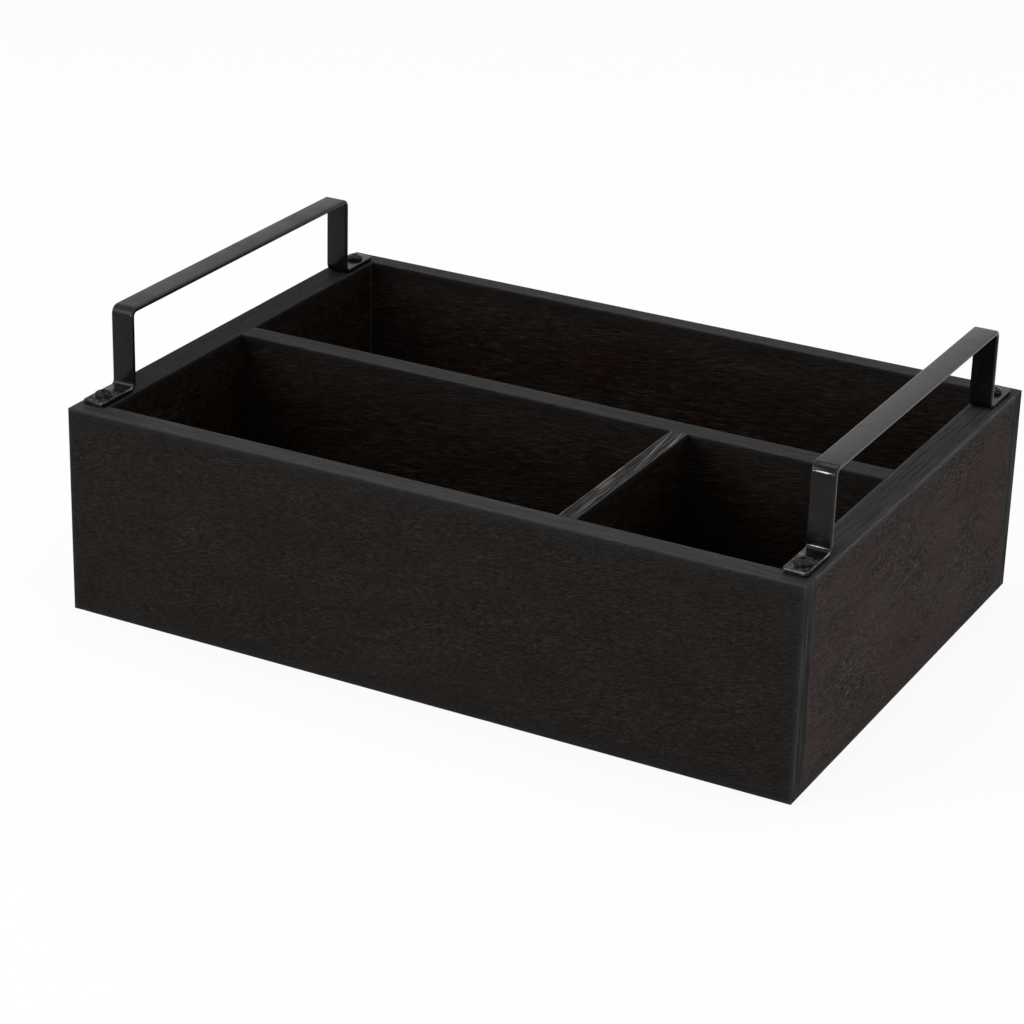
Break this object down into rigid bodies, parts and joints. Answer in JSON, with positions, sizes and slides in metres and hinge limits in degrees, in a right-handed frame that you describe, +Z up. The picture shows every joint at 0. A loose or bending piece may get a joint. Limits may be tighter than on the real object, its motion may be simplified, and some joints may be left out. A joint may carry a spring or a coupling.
{
  "type": "coffee station organizer",
  "caption": "Open wooden countertop organizer box with a long rear bay, divided front bays and bent steel strap carrying handles at both ends.",
  "frame": {"origin": "middle of the box's footprint, on the table", "axes": "+X to the right along the longest side, +Y to the back, +Z up"},
  "size_m": [0.38, 0.265, 0.147],
  "materials": {
    "stained_face_board": "black-brown stain, satin, fine open grain",
    "stained_end_board": "black-brown stain, satin, slightly worn",
    "stained_inner_board": "dark brown stain, matte",
    "streaked_board": "thin black stain over open long grain",
    "base_sheet": "stained thin plywood, matte",
    "coated_steel": "satin black powder coat",
    "coated_screw": "black coated pan head",
    "dowel_wood": "plain beech, unfinished"
  },
  "bodies": {
    "root": {"back_left_lower_dowel": "dowel_wood", "back_left_upper_dowel": "dowel_wood", "back_panel": "stained_face_board", "back_right_lower_dowel": "dowel_wood", "back_right_upper_dowel": "dowel_wood", "base_panel": "base_sheet", "cross_divider": "streaked_board", "cross_divider_back_lower_dowel": "dowel_wood", "cross_divider_back_upper_dowel": "dowel_wood", "cross_divider_front_lower_dowel": "dowel_wood", "cross_divider_front_upper_dowel": "dowel_wood", "front_left_lower_dowel": "dowel_wood", "front_left_upper_dowel": "dowel_wood", "front_panel": "stained_face_board", "front_right_lower_dowel": "dowel_wood", "front_right_upper_dowel": "dowel_wood", "left_end_panel": "stained_end_board", "left_handle": "coated_steel", "left_handle_back_screw": "coated_screw", "left_handle_front_screw": "coated_screw", "long_divider": "stained_inner_board", "long_divider_left_lower_dowel": "dowel_wood", "long_divider_left_upper_dowel": "dowel_wood", "long_divider_right_lower_dowel": "dowel_wood", "long_divider_right_upper_dowel": "dowel_wood", "right_end_panel": "stained_end_board", "right_handle": "coated_steel", "right_handle_back_screw": "coated_screw", "right_handle_front_screw": "coated_screw"}
  },
  "joints": []
}
